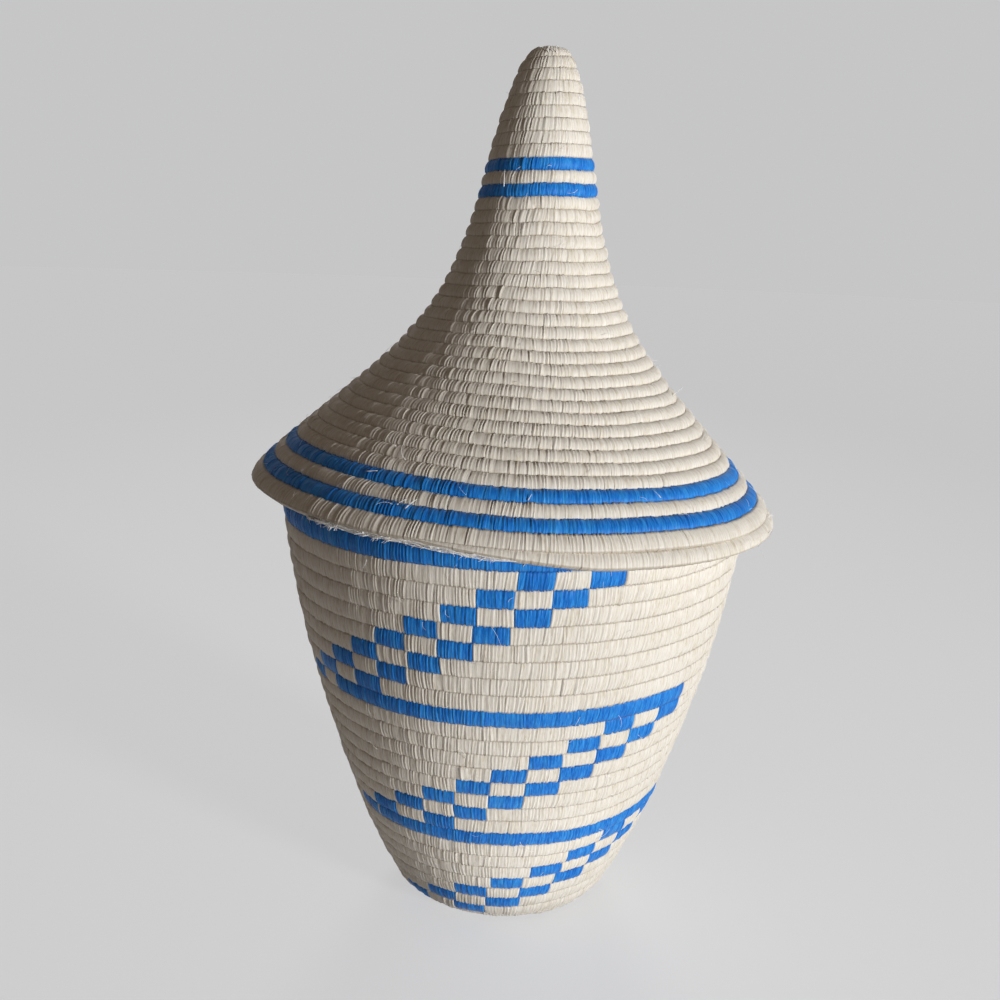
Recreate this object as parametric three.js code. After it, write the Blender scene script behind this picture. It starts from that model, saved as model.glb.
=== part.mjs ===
// Sisal basket with a pointed lid: one long coil winds out from the middle of the floor and up the wall,
// and a second one winds down from the tip of the lid to its thick rim. Both wind the same way round.
// Millimetres, +Z up, the front faces -Y, and the origin is the middle of the underside.

import * as THREE from 'three';

// The basket, measured at the middle of the coil's thickness
const mouthRadius = 78.8;
const mouthHeight = 146.6; // where the wall is widest
const mouthRise = 5.7; // the last row above that
const mouthTurnIn = 4.4; // how far it leans back in, under the lid
const footRadius = 39.1;
const footBend = 12.5; // radius of the bend from floor to wall
const footLean = 62; // degrees between the floor and the wall just above the bend
const footReach = 37.2; // how far the wall keeps the lean of its foot
const mouthReach = 56; // how far it keeps the lean of its mouth
const mouthLean = 82; // degrees between the floor and the wall at the mouth
const basketCoil = 5.6; // thickness of the coil through the wall
const basketTurns = 32.57; // turns of the coil, floor included
const floorTurns = 4.64;
const rowsPerBand = 8; // natural rows between two blue lines
const topRowSwell = 1.08; // the rows above the middle line are this much taller
const topSwellTurns = 2; // turns over which the coil swells to that
const mouthTaper = 0.2; // turns over which the coil thins out at the mouth
const mouthEndAngle = 315; // where the coil ends, in degrees from the front towards +X
const topLineEnd = 0.81; // turns from there back to the end of the topmost blue line
const buttonRadius = 5.5; // the coiled start in the middle of the floor

// The lid, measured at the middle of the coil's thickness
const lidOverhang = 12.2; // how far the rim stands out past the mouth
const lidHeight = 150; // lowest point of the rim to the end of the coil at the tip
const rimDrop = 7; // the last stretch, which hangs down over the mouth
const rimCurl = 5.4; // how far that stretch still runs outwards
const flareReach = 55; // how far the lid keeps the slope of its brim
const neckReach = 52.5; // how far the flare keeps the slope of the neck
const neckRadius = 17.9;
const neckHeight = 104.9; // lowest point of the rim to the neck
const neckSlope = 77.9; // degrees
const brimSlope = 46.4; // degrees
const tipRadius = 3.4;
const tipReach = 6.1; // how far the tip keeps its slope
const tipSlope = 16.5; // degrees
const lidCoil = 4.6; // thickness of the coil through the lid
const lidTurns = 40;
const tipShare = 0.94; // thickness of the coil at the tip and at the brim, as a share of lidCoil
const brimShare = 1.14;
const rollShare = 1.25; // the same for the roll of the rim, and for the last half turn under it
const lastShare = 1.04;
const rimTurns = 1.45; // turns of the rim, its last half turn included
const rollSwellTurns = 4; // turns over which the coil swells from the brim to the roll
const lastTurns = 0.3; // turns of the thin end
const rimTaper = 0.1; // turns over which it thins out again at its end
const rimEndAngle = -20; // where it ends, in degrees from the front towards +X
const ringTurns = 1; // a blue ring, or the natural ring between two
const neckRingStart = 27.45; // turns from the coil's end up to the two blue rings of the neck
const flareSplit = 10; // turns of the brim's natural coil below the flare's
const neckSplit = 20; // turns up to where the flare's coil turns into the neck's

// How the lid sits
const lidTilt = 2.75; // degrees, with the +X side of its brim down
const levelFrom = 20; // height in the lid above which its rows are sewn level again
const levelTo = 95;
const lidShift = -1.35; // sideways place of the rim on the mouth

// Gaps and the look of the coil's section
const seam = 0.3; // between one stretch of coil and the next
const seatGap = 0.35; // between the mouth and the inside of the lid
const groove = 1.0; // depth of the valley between two rows outside
const innerGroove = 0.6;
const startHeight = 0.12; // turns left off where the coil starts with no height
const knotRise = 1.6; // how far the knot stands above the end of the coil

// Sections in one turn of the coil, fewer where it winds tighter
const wallSteps = 30;
const floorSteps = 22;
const brimSteps = 26;
const neckSteps = 18;
const tipSteps = 16;
const seatSamples = 72; // directions in which the lid is set against the mouth
const domeSteps = 3;
const evenSpace = 0.4; // an even section nearer to a join than this share of a step is left out
const tiny = 1e-6; // turns

const degrees = Math.PI / 180;
const natural = { color: '#cdb791', roughness: 0.85, metalness: 0 };
const blue = { color: '#2c4fa3', roughness: 0.8, metalness: 0 };

// A direction in the drawing plane of a wall, where x runs out from the axis and y runs up
function direction(angle, length = 1) {
  return new THREE.Vector2(Math.cos(angle * degrees), Math.sin(angle * degrees)).multiplyScalar(length);
}

// The middle line of the basket's floor and wall, from the button to the mouth
function basketLine() {
  const floorLevel = basketCoil / 2;
  const arcStart = -90 * degrees;
  const arcEnd = (footLean - 90) * degrees;
  const flat = footRadius - footBend * Math.cos(arcEnd);
  const wallFoot = new THREE.Vector2(footRadius, floorLevel + footBend + footBend * Math.sin(arcEnd));
  const mouth = new THREE.Vector2(mouthRadius, mouthHeight);
  const low = wallFoot.clone().add(direction(footLean, footReach));
  const rise = mouth.clone().add(direction(mouthLean, mouthRise / 2));
  const high = mouth.clone().sub(direction(mouthLean, mouthReach));
  const line = new THREE.Path();
  line.moveTo(buttonRadius, floorLevel);
  line.lineTo(flat, floorLevel);
  line.absarc(flat, floorLevel + footBend, footBend, arcStart, arcEnd, false);
  line.bezierCurveTo(low.x, low.y, high.x, high.y, mouth.x, mouth.y);
  line.quadraticCurveTo(rise.x, rise.y, mouthRadius - mouthTurnIn, mouthHeight + mouthRise);
  return line;
}

// The middle line of the lid, from the tip down to the rim, whose lowest point is at height 0
function lidLine() {
  const rim = new THREE.Vector2(mouthRadius + lidOverhang, 0);
  const brim = new THREE.Vector2(rim.x - rimCurl, rimDrop);
  const neck = new THREE.Vector2(neckRadius, neckHeight);
  const tip = new THREE.Vector2(tipRadius, lidHeight);
  const tipPull = direction(tipSlope, tipReach);
  const risePull = direction(neckSlope, (lidHeight - neckHeight) / 3);
  const line = new THREE.Path();
  line.moveTo(tip.x, tip.y);
  line.bezierCurveTo(tip.x + tipPull.x, tip.y - tipPull.y,
    neck.x - risePull.x, neck.y + risePull.y, neck.x, neck.y);
  const neckPull = direction(neckSlope, neckReach);
  const brimPull = direction(brimSlope, flareReach);
  line.bezierCurveTo(neck.x + neckPull.x, neck.y - neckPull.y,
    brim.x - brimPull.x, brim.y + brimPull.y, brim.x, brim.y);
  const curlPull = direction(brimSlope, rimCurl);
  line.quadraticCurveTo(brim.x + curlPull.x, brim.y - curlPull.y, rim.x, rim.y);
  return line;
}

// A coil that winds along a middle line. Turn 0 is its start, and the height of one row, as a share of
// the common one, is given turn by turn. Each row lies against the one before it.
class Coil {
  constructor({ line, sense, turns, endAngle, endTaper, thickness, swell }) {
    Object.assign(this, { line, sense, turns, endAngle, endTaper, thickness, swell });
    this.length = line.getLength();
    this.pitch = 1;
    this.pitch = this.length / this.edge(turns - endTaper);
  }

  // Height of the row at this turn
  height(turn) {
    const taper = Math.min(1, turn, (this.turns - turn) / this.endTaper);
    return this.pitch * this.swell(this.turns - turn) * Math.max(taper, 0);
  }

  // How far along the middle line the far edge of the row lies at this turn
  edge(turn) {
    return turn <= 0 ? 0 : this.edge(turn - 1) + this.height(turn);
  }

  // Angle from +X, seen from above. The front, -Y, is where the end angle counts from.
  angle(turn) {
    return (this.endAngle - 90) * degrees + this.sense * (turn - this.turns) * 2 * Math.PI;
  }

  // A point beside the middle line: out is to the outer face
  place(turn, along, out) {
    const share = THREE.MathUtils.clamp(along / this.length, 0, 1);
    const middle = this.line.getPoint(share);
    const run = this.line.getTangent(share);
    const radius = middle.x + this.sense * run.y * out;
    const angle = this.angle(turn);
    return new THREE.Vector3(
      radius * Math.cos(angle), radius * Math.sin(angle), middle.y - this.sense * run.x * out);
  }

  // Offset of the outer face: in the groove at a row's edges, and proud by the groove's depth between them
  outer(turn, proud) {
    const swell = this.swell(this.turns - turn);
    const full = Math.min(1, this.height(turn) / (this.pitch * swell));
    return swell * this.thickness / 2 - groove + proud * groove * full;
  }

  inner(turn) {
    return innerGroove - this.swell(this.turns - turn) * this.thickness / 2;
  }
}

const basketCoiling = new Coil({
  line: basketLine(),
  sense: 1,
  turns: basketTurns,
  endAngle: mouthEndAngle,
  endTaper: mouthTaper,
  thickness: basketCoil,
  swell: (fromEnd) => {
    const topRows = topLineEnd + rowsPerBand;
    const below = THREE.MathUtils.smoothstep(fromEnd, topRows, topRows + topSwellTurns);
    return THREE.MathUtils.lerp(topRowSwell, 1, below);
  },
});

const lidCoiling = new Coil({
  line: lidLine(),
  sense: -1,
  turns: lidTurns,
  endAngle: rimEndAngle,
  endTaper: rimTaper,
  thickness: lidCoil,
  swell: (fromEnd) => {
    const body = THREE.MathUtils.lerp(brimShare, tipShare, fromEnd / lidTurns);
    const roll = THREE.MathUtils.smoothstep(fromEnd, rimTurns, rimTurns + rollSwellTurns);
    const end = THREE.MathUtils.smoothstep(fromEnd, lastTurns, 2 * lastTurns);
    return THREE.MathUtils.lerp(lastShare, THREE.MathUtils.lerp(rollShare, body, roll), end);
  },
});

const shareOf = (turn) => turn - Math.floor(turn);

// Where the joins between stretches lie within their turn, and how much of a turn half a seam is there
function joinGaps(coil, joins) {
  const gaps = new Map();
  for (const turn of joins) {
    const point = coil.place(turn, coil.edge(turn), 0);
    const gap = seam / 2 / (2 * Math.PI * Math.hypot(point.x, point.y));
    const share = shareOf(turn).toFixed(6);
    gaps.set(share, Math.max(gap, gaps.get(share) ?? 0));
  }
  return gaps;
}

// The turns at which a stretch of coil gets a section: evenly spaced, and on both sides of each join.
// They repeat from turn to turn, so that each row shares its edge with the next one.
function sectionTurns(from, to, gaps, steps) {
  const joinMarks = [...gaps].flatMap(([share, gap]) =>
    [shareOf(Number(share) - gap), shareOf(Number(share) + gap)]);
  const marks = [...joinMarks];
  const near = (a, b) => Math.min(Math.abs(a - b), 1 - Math.abs(a - b)) < evenSpace / steps;
  for (let step = 0; step < steps; step += 1) {
    if (!joinMarks.some((mark) => near(mark, step / steps))) marks.push(step / steps);
  }
  marks.sort((a, b) => a - b);
  const first = from + gaps.get(shareOf(from).toFixed(6));
  const last = to - gaps.get(shareOf(to).toFixed(6));
  const turns = [];
  for (let whole = Math.floor(from); whole <= Math.floor(to); whole += 1) {
    const inTurn = marks.map((mark) => whole + mark);
    turns.push(...inTurn.filter((turn) => turn > first - tiny && turn < last + tiny));
  }
  return { turns, perTurn: marks.length };
}

// One closed solid: the rows of a coil between two of its turns, sewn edge to edge. crest lists the
// outer face's points across a row, each by its share of the row and how far it stands proud.
function coilStretch(coil, from, to, gaps, steps, crest) {
  const { turns, perTurn } = sectionTurns(from, to, gaps, steps);
  const last = turns.length - 1;
  const vertices = [];
  const faces = [];
  const add = (point) => vertices.push(point.x, point.y, point.z) / 3 - 1;
  const quad = (a, b, c, d) => faces.push(a, b, c, a, c, d);

  const near = []; // at a row's near edge, outer and inner
  const middle = []; // between its edges, outer
  turns.forEach((turn, i) => {
    const lowest = coil.edge(turn - 1);
    const highest = coil.edge(turn);
    const shift = i <= perTurn ? seam / 2 : (i === last ? -seam / 2 : 0);
    const full = highest - lowest;
    near.push([
      add(coil.place(turn, lowest + shift, coil.outer(turn, 0))),
      add(coil.place(turn, lowest + shift, coil.inner(turn))),
    ]);
    middle.push(crest.map(([share, proud]) =>
      add(coil.place(turn, lowest + share * full, coil.outer(turn, proud)))));
  });
  const far = turns.map((turn, i) => {
    if (i + perTurn <= last) return near[i + perTurn];
    const along = coil.edge(turn) - seam / 2;
    return [add(coil.place(turn, along, coil.outer(turn, 0))), add(coil.place(turn, along, coil.inner(turn)))];
  });

  const section = (i) => [near[i][0], ...middle[i], far[i][0], far[i][1], near[i][1]];
  const outside = crest.length + 1;
  for (let i = 0; i < last; i += 1) {
    const here = section(i);
    const next = section(i + 1);
    for (let j = 0; j < outside; j += 1) quad(here[j], next[j], next[j + 1], here[j + 1]);
    quad(here[outside + 1], next[outside + 1], next[outside + 2], here[outside + 2]);
    if (i < perTurn) quad(near[i][0], near[i][1], near[i + 1][1], near[i + 1][0]);
    if (i + perTurn >= last) quad(far[i][0], far[i + 1][0], far[i + 1][1], far[i][1]);
  }
  const start = section(0);
  const end = section(last);
  for (let j = 1; j < start.length - 1; j += 1) {
    faces.push(start[0], start[j], start[j + 1]);
    faces.push(end[0], end[j + 1], end[j]);
  }
  const geometry = new THREE.BufferGeometry();
  geometry.setAttribute('position', new THREE.Float32BufferAttribute(vertices, 3));
  geometry.setIndex(faces);
  return geometry;
}

const ridge = [[0.5, 1]]; // a wall's row, with one crest
const tread = [[0.2, 1], [0.8, 1]]; // a floor's row, pressed flat by standing on it

function named(name, geometry, finish) {
  geometry.computeVertexNormals();
  const mesh = new THREE.Mesh(geometry, new THREE.MeshStandardMaterial({ ...finish, flatShading: true }));
  mesh.name = name;
  return mesh;
}

// The stretches of a coil, listed from its end back towards its start
function wound(coil, stretches, shape = (geometry) => geometry) {
  const joins = [coil.turns];
  for (const [, turns] of stretches) joins.push(Math.max(joins.at(-1) - turns, startHeight));
  const gaps = joinGaps(coil, joins);
  return stretches.map(([name, , finish, steps, crest = ridge], i) =>
    named(name, shape(coilStretch(coil, joins[i + 1], joins[i], gaps, steps, crest)), finish));
}

// A solid turned about the vertical axis
function turned(profile) {
  return new THREE.LatheGeometry(profile, tipSteps).rotateX(Math.PI / 2);
}

// The start of the coil, a flat button in the middle of the floor
function floorButton() {
  const radius = buttonRadius - seam;
  const top = basketCoil - innerGroove;
  const profile = [[0, 0], [radius - groove, 0], [radius, groove], [radius, top - innerGroove],
    [radius - innerGroove, top], [0, top]].map(([x, y]) => new THREE.Vector2(x, y));
  return named('floor_start_button', turned(profile), natural);
}

function basket() {
  const wallTurns = basketTurns - floorTurns - topLineEnd;
  const lowerRows = wallTurns - 1 - 3 - 2 * rowsPerBand; // under the three blue lines, foot row left out
  const group = new THREE.Group();
  group.add(...wound(basketCoiling, [
    ['mouth_end_row', topLineEnd, natural, wallSteps],
    ['mouth_blue_row', 1, blue, wallSteps],
    ['upper_wall_rows', rowsPerBand, natural, wallSteps],
    ['middle_blue_row', 1, blue, wallSteps],
    ['middle_wall_rows', rowsPerBand, natural, wallSteps],
    ['lower_blue_row', 1, blue, wallSteps],
    ['lower_wall_rows', lowerRows, natural, wallSteps],
    ['foot_row', 1, natural, floorSteps, tread],
    ['floor_rows', floorTurns, natural, floorSteps, tread],
  ]), floorButton());
  return group;
}

// Turns the lid's rows level again towards its neck, while its brim stays askew
function levelNeck(geometry) {
  const position = geometry.getAttribute('position');
  for (let i = 0; i < position.count; i += 1) {
    const level = THREE.MathUtils.smoothstep(position.getZ(i), levelFrom, levelTo);
    position.setZ(i, position.getZ(i) + position.getX(i) * Math.tan(lidTilt * degrees) * level);
  }
  return geometry;
}

// The knot that closes the tip: a plug in the last small opening, with a round top
function tipKnot() {
  const edge = (out) => {
    const point = lidCoiling.place(lidTurns, 0, out);
    return new THREE.Vector2(Math.hypot(point.x, point.y), point.z);
  };
  const outer = edge(lidCoiling.outer(0.5, 0));
  const inner = edge(lidCoiling.inner(0.5));
  const side = outer.clone().sub(inner).normalize();
  const clear = new THREE.Vector2(-side.y, side.x).multiplyScalar(seam);
  const low = inner.clone().add(clear);
  const high = outer.clone().add(clear);
  const dome = new THREE.QuadraticBezierCurve(
    high, new THREE.Vector2(high.x, high.y + knotRise), new THREE.Vector2(0, high.y + knotRise));
  const profile = [new THREE.Vector2(0, low.y), low, ...dome.getPoints(domeSteps)];
  return named('tip_knot', levelNeck(turned(profile)), natural);
}

function lid() {
  const brimTurns = flareSplit - rimTurns - 3 * ringTurns;
  const tipTurns = lidTurns - neckRingStart - 3 * ringTurns;
  const group = new THREE.Group();
  group.add(...wound(lidCoiling, [
    ['rim_roll', rimTurns, natural, brimSteps],
    ['brim_lower_blue_ring', ringTurns, blue, brimSteps],
    ['brim_natural_ring', ringTurns, natural, brimSteps],
    ['brim_upper_blue_ring', ringTurns, blue, brimSteps],
    ['brim_rows', brimTurns, natural, brimSteps],
    ['flare_rows', neckSplit - flareSplit, natural, brimSteps],
    ['neck_rows', neckRingStart - neckSplit, natural, neckSteps],
    ['neck_lower_blue_ring', ringTurns, blue, neckSteps],
    ['neck_natural_ring', ringTurns, natural, neckSteps],
    ['neck_upper_blue_ring', ringTurns, blue, neckSteps],
    ['tip_rows', tipTurns, natural, tipSteps],
  ], levelNeck), tipKnot());
  return group;
}

// The inside of the brim over one direction: points up the lid as it stands, tilted, at height 0
function brimInside(turn) {
  const tilt = new THREE.Matrix4().makeRotationY(lidTilt * degrees);
  const shift = new THREE.Vector3(lidShift, 0, 0);
  const points = [];
  for (let halfRows = 0; halfRows < 2 * flareSplit; halfRows += 1) {
    const above = turn + 1 - halfRows / 2;
    const point = lidCoiling.place(turn, lidCoiling.edge(above), lidCoiling.inner(above));
    points.push(point.applyMatrix4(tilt).add(shift));
  }
  return points;
}

// The two highest points of the mouth in a direction: the edge of its last row, and that row's crest
function mouthTop(angle) {
  const back = (basketCoiling.angle(basketTurns) - angle) / (2 * Math.PI);
  const turn = basketTurns - (back - Math.floor(back));
  const top = basketCoiling.edge(turn);
  return [
    basketCoiling.place(turn, top, basketCoiling.outer(turn, 0)),
    basketCoiling.place(turn, top - basketCoiling.height(turn) / 2, basketCoiling.outer(turn, 1)),
  ];
}

// How high the lid comes to rest: it slides down until the inside of its brim meets the mouth somewhere
function seatHeight() {
  const radiusOf = (point) => Math.hypot(point.x, point.y);
  const facet = Math.cos(Math.PI / brimSteps); // the brim's inside lies nearer between two sections
  let seat = 0;
  for (let sample = 0; sample < seatSamples; sample += 1) {
    const inside = brimInside(lidTurns - 1 - sample / seatSamples);
    for (const point of mouthTop(Math.atan2(inside[0].y, inside[0].x))) {
      const radius = radiusOf(point) / facet;
      for (let i = 1; i < inside.length; i += 1) {
        const [low, high] = [inside[i - 1], inside[i]];
        const share = (radiusOf(low) - radius) / (radiusOf(low) - radiusOf(high));
        const under = THREE.MathUtils.lerp(low.z, high.z, share);
        if (share >= 0 && share <= 1) seat = Math.max(seat, point.z - under);
      }
    }
  }
  return seat + seatGap / Math.cos(brimSlope * degrees);
}

const wholeLid = lid();
wholeLid.rotation.y = lidTilt * degrees;
wholeLid.position.set(lidShift, 0, seatHeight());

const model = new THREE.Group();
model.add(basket(), wholeLid);

export default model;
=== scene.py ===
# %% [markdown]
# A coiled sisal basket with a flared, pointed lid, about 30 cm tall.
# A basket of this kind is one long bundle of grass, wrapped tightly with sisal strand and sewn to itself as
# it winds up in a spiral. What the eye sees is only the strand: thousands of wraps, each about a millimetre
# wide, lying side by side on every row. Blue dyed strand makes rings, lines and a stepped check pattern.
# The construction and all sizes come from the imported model. This script dresses it: it winds both coils
# again, wrap by wrap, as real geometry, and gives the strand its fibres, colour and light.

# %% The frame and the tools
import math

import bmesh
import bpy
import numpy as np
from mathutils import Matrix, Vector


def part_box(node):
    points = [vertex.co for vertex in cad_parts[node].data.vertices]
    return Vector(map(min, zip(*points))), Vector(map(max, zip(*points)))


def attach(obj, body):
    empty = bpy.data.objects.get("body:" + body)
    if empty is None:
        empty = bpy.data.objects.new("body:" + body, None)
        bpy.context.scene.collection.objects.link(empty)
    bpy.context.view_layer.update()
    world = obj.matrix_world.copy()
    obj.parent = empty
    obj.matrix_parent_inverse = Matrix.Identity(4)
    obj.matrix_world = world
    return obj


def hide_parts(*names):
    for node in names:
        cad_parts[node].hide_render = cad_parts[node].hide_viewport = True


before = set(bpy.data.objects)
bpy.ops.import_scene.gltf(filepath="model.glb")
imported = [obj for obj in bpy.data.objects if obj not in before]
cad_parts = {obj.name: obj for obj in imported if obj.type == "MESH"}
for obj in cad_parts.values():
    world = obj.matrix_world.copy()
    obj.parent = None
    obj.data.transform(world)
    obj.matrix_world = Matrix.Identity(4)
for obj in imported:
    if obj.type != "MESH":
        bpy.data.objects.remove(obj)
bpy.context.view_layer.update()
MM = 0.001
scene = bpy.context.scene


# %% [markdown]
# The camera stands where the photographer stood: about 40 cm in front of the basket's axis and about as high
# as the lid's neck, looking 13 degrees down, with the picture turned about 2 degrees. It comes first, so that
# every later step can be judged in the photograph's frame. A real lens of that field of view is used, and
# no shift.

# %% Camera
CAMERA_PLACE = Vector((-5.19, -402.9, 238.8)) * MM
CAMERA_DOWN = math.radians(12.94)
CAMERA_TURN = math.radians(2.15)
FRAME_PIXELS, FOCAL_PIXELS = 1000, 1150  # width of the frame, and the focal length in its pixels
SENSOR_MM = 36
NEAREST, FARTHEST = 0.01, 50  # what the camera takes in, m

camera_data = bpy.data.cameras.new("camera")
camera_data.sensor_width = SENSOR_MM
camera_data.lens = FOCAL_PIXELS / FRAME_PIXELS * SENSOR_MM
camera_data.clip_start, camera_data.clip_end = NEAREST, FARTHEST
camera = bpy.data.objects.new("camera", camera_data)
camera.matrix_world = (Matrix.Translation(CAMERA_PLACE)
                       @ Matrix.Rotation(math.pi / 2 - CAMERA_DOWN, 4, "X")
                       @ Matrix.Rotation(CAMERA_TURN, 4, "Z"))
scene.collection.objects.link(camera)
scene.camera = camera
print("lens, mm:", round(camera_data.lens, 1))


# %% [markdown]
# Colours are written as sRGB hex values, as a paint chart would give them, and a shader wants linear ones,
# so one function turns them. Another adds a shader node with its settings and links in one line, which
# keeps a material readable from top to bottom.

# %% Colour and node helpers
def linear(hex_colour):
    """An sRGB hex colour as linear RGBA."""
    values = [int(hex_colour[i:i + 2], 16) / 255 for i in (1, 3, 5)]
    return [v / 12.92 if v <= 0.04045 else ((v + 0.055) / 1.055) ** 2.4 for v in values] + [1.0]


def node(tree, kind, settings=None, **inputs):
    """Adds a shader node. An input's value is a number, a colour or another node's output socket."""
    made = tree.nodes.new("ShaderNode" + kind)
    for name, value in (settings or {}).items():
        setattr(made, name, value)
    for name, value in inputs.items():
        key = int(name[1:]) if name[0] == "i" and name[1:].isdigit() else name.replace("_", " ")
        if isinstance(value, bpy.types.NodeSocket):
            tree.links.new(value, made.inputs[key])
        else:
            made.inputs[key].default_value = value
    return made


# %% [markdown]
# A coil is a spiral that follows a middle line: the shape that a straight cut through the wall would show.
# The basket's line runs from the floor's middle round the foot and up to the mouth, and the lid's from its
# tip down to its rim. Each is a few curves with real sizes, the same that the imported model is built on, so
# that every wrap lies exactly where its solid is. The line is measured off by length, because rows of a
# coil lie one beside the other along it.

# %% Middle lines
CURVE_POINTS, BEND_POINTS = 400, 100
TOUCHING = 1e-9  # points nearer to each other than this count as one, mm


def direction(degrees, length=1.0):
    """A flat step of this length, at this angle from the first of its two directions."""
    return np.array([math.cos(math.radians(degrees)), math.sin(math.radians(degrees))]) * length


def curve(*controls):
    """Points on a Bezier curve with three or four control points."""
    t = np.linspace(0, 1, CURVE_POINTS)[:, None]
    row = list(controls)
    while len(row) > 1:
        row = [a + (b - a) * t for a, b in zip(row, row[1:])]
    return row[0]


def measured(*stretches):
    """Joins stretches of points into one line and says how far along it each point lies."""
    points = np.concatenate(stretches)
    apart = np.hypot(*np.diff(points, axis=0).T) > TOUCHING
    points = points[np.concatenate([[True], apart])]
    along = np.concatenate([[0], np.cumsum(np.hypot(*np.diff(points, axis=0).T))])
    return along, points


# Lengths in mm and slopes in degrees; a reach is how far a line keeps its slope.
MOUTH_RADIUS, MOUTH_HEIGHT, MOUTH_LEAN, MOUTH_REACH = 78.8, 146.6, 82, 56
MOUTH_RISE, MOUTH_TURN_IN = 5.7, 4.4  # the last row, above the mouth and in towards the axis
FOOT_RADIUS, FOOT_BEND, FOOT_LEAN, FOOT_REACH = 39.1, 12.5, 62, 37.2
BASKET_COIL, BUTTON_RADIUS = 5.6, 5.5

floor_level = BASKET_COIL / 2
bend = np.linspace(-math.pi / 2, math.radians(FOOT_LEAN - 90), BEND_POINTS)
flat_end = FOOT_RADIUS - FOOT_BEND * math.cos(bend[-1])
wall_foot = np.array([FOOT_RADIUS, floor_level + FOOT_BEND + FOOT_BEND * math.sin(bend[-1])])
mouth = np.array([MOUTH_RADIUS, MOUTH_HEIGHT])
basket_line = measured(
    np.array([[BUTTON_RADIUS, floor_level], [flat_end, floor_level]]),
    np.stack([flat_end + FOOT_BEND * np.cos(bend), floor_level + FOOT_BEND + FOOT_BEND * np.sin(bend)], 1),
    curve(wall_foot, wall_foot + direction(FOOT_LEAN, FOOT_REACH),
          mouth - direction(MOUTH_LEAN, MOUTH_REACH), mouth),
    curve(mouth, mouth + direction(MOUTH_LEAN, MOUTH_RISE / 2), mouth + [-MOUTH_TURN_IN, MOUTH_RISE]))

LID_OVERHANG, LID_HEIGHT, RIM_DROP, RIM_CURL = 12.2, 150, 7, 5.4
NECK_RADIUS, NECK_HEIGHT, NECK_SLOPE, NECK_REACH = 17.9, 104.9, 77.9, 52.5
BRIM_SLOPE, FLARE_REACH = 46.4, 55
TIP_RADIUS, TIP_SLOPE, TIP_REACH = 3.4, 16.5, 6.1
LID_COIL = 4.6

DOWN = np.array([1, -1])
rim = np.array([MOUTH_RADIUS + LID_OVERHANG, 0.0])
brim = rim + [-RIM_CURL, RIM_DROP]
neck = np.array([NECK_RADIUS, NECK_HEIGHT])
tip = np.array([TIP_RADIUS, LID_HEIGHT])
lid_line = measured(
    curve(tip, tip + direction(TIP_SLOPE, TIP_REACH) * DOWN,
          neck - direction(NECK_SLOPE, (LID_HEIGHT - NECK_HEIGHT) / 3) * DOWN, neck),
    curve(neck, neck + direction(NECK_SLOPE, NECK_REACH) * DOWN,
          brim - direction(BRIM_SLOPE, FLARE_REACH) * DOWN, brim),
    curve(brim, brim + direction(BRIM_SLOPE, RIM_CURL) * DOWN, rim))
print("middle lines, mm:", round(basket_line[0][-1], 1), "and", round(lid_line[0][-1], 1))


# %% [markdown]
# The coil itself is counted in turns. Rows have a height that swells and tapers from turn to turn, and the
# edge of one row is the start of the next, so the edges are added up in a table with many steps to a turn.
# A second table counts wraps: the strand is about a millimetre wide everywhere, so a wide turn holds some
# five hundred wraps and the last one at the tip about twenty.

# %% The coil
WRAP = 1.12  # mean width of a wrap of strand, mm
STEPS = 720  # table entries in a turn


def smooth(x, low, high):
    """Rises from 0 at the low value to 1 at the high one, without a kink."""
    t = np.clip((x - low) / (high - low), 0, 1)
    return t * t * (3 - 2 * t)


class Coil:
    """A bundle wound in a spiral along a middle line; sense is 1 if it climbs as it winds, -1 if it sinks."""

    def __init__(self, line, sense, turns, end_angle, end_taper, thickness, swell, seed):
        self.along, self.points = line
        self.sense, self.turns, self.thickness, self.swell = sense, turns, thickness, swell
        self.end_degrees, self.end_angle = end_angle, math.radians(end_angle - 90)
        self.end_taper, self.pitch = end_taper, 1.0
        tangent = np.gradient(self.points, self.along, axis=0)
        self.tangent = tangent / np.hypot(*tangent.T)[:, None]
        self.table = np.arange(STEPS * (int(turns) + 2)) / STEPS
        edges = self.height(self.table)
        for i in range(STEPS, len(edges)):
            edges[i] += edges[i - STEPS]
        self.pitch = self.along[-1] / np.interp(turns - end_taper, self.table, edges)
        self.edges = edges * self.pitch
        middle = self.edge(self.table) - self.height(self.table) / 2
        place = self.place(self.table, middle, thickness / 2)
        around = np.hypot(place[:, 0], place[:, 1]) * 2 * math.pi / STEPS
        self.counted = np.concatenate([[0], np.cumsum(around[1:])]) / WRAP
        self.rng = np.random.default_rng(seed)
        self.wraps = int(self.wrap_at(turns)) + 2

    def height(self, turn):
        """Height of the row along the middle line, mm, with the taper at either end."""
        taper = np.clip(np.minimum(turn, (self.turns - turn) / self.end_taper), 0, 1)
        return self.pitch * self.swell(self.turns - turn) * taper

    def edge(self, turn):
        """How far along the middle line the row ends at this turn, mm."""
        return np.interp(turn, self.table, self.edges) * (turn > 0)

    def wrap_at(self, turn):
        """Wraps from the coil's start to this turn."""
        return np.interp(turn, self.table, self.counted)

    def turn_at(self, wrap):
        """The turn that this wrap lies at."""
        return np.interp(wrap, self.counted, self.table)

    def place(self, turn, along, out):
        """A point at a turn of the coil, along the middle line and out from it towards the outer face."""
        x, y = (np.interp(along, self.along, self.points[:, i]) for i in (0, 1))
        run_x, run_y = (np.interp(along, self.along, self.tangent[:, i]) for i in (0, 1))
        radius = x + self.sense * run_y * out
        angle = self.end_angle + self.sense * (turn - self.turns) * 2 * math.pi
        return np.stack([radius * np.cos(angle), radius * np.sin(angle), y - self.sense * run_x * out], -1)


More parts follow.
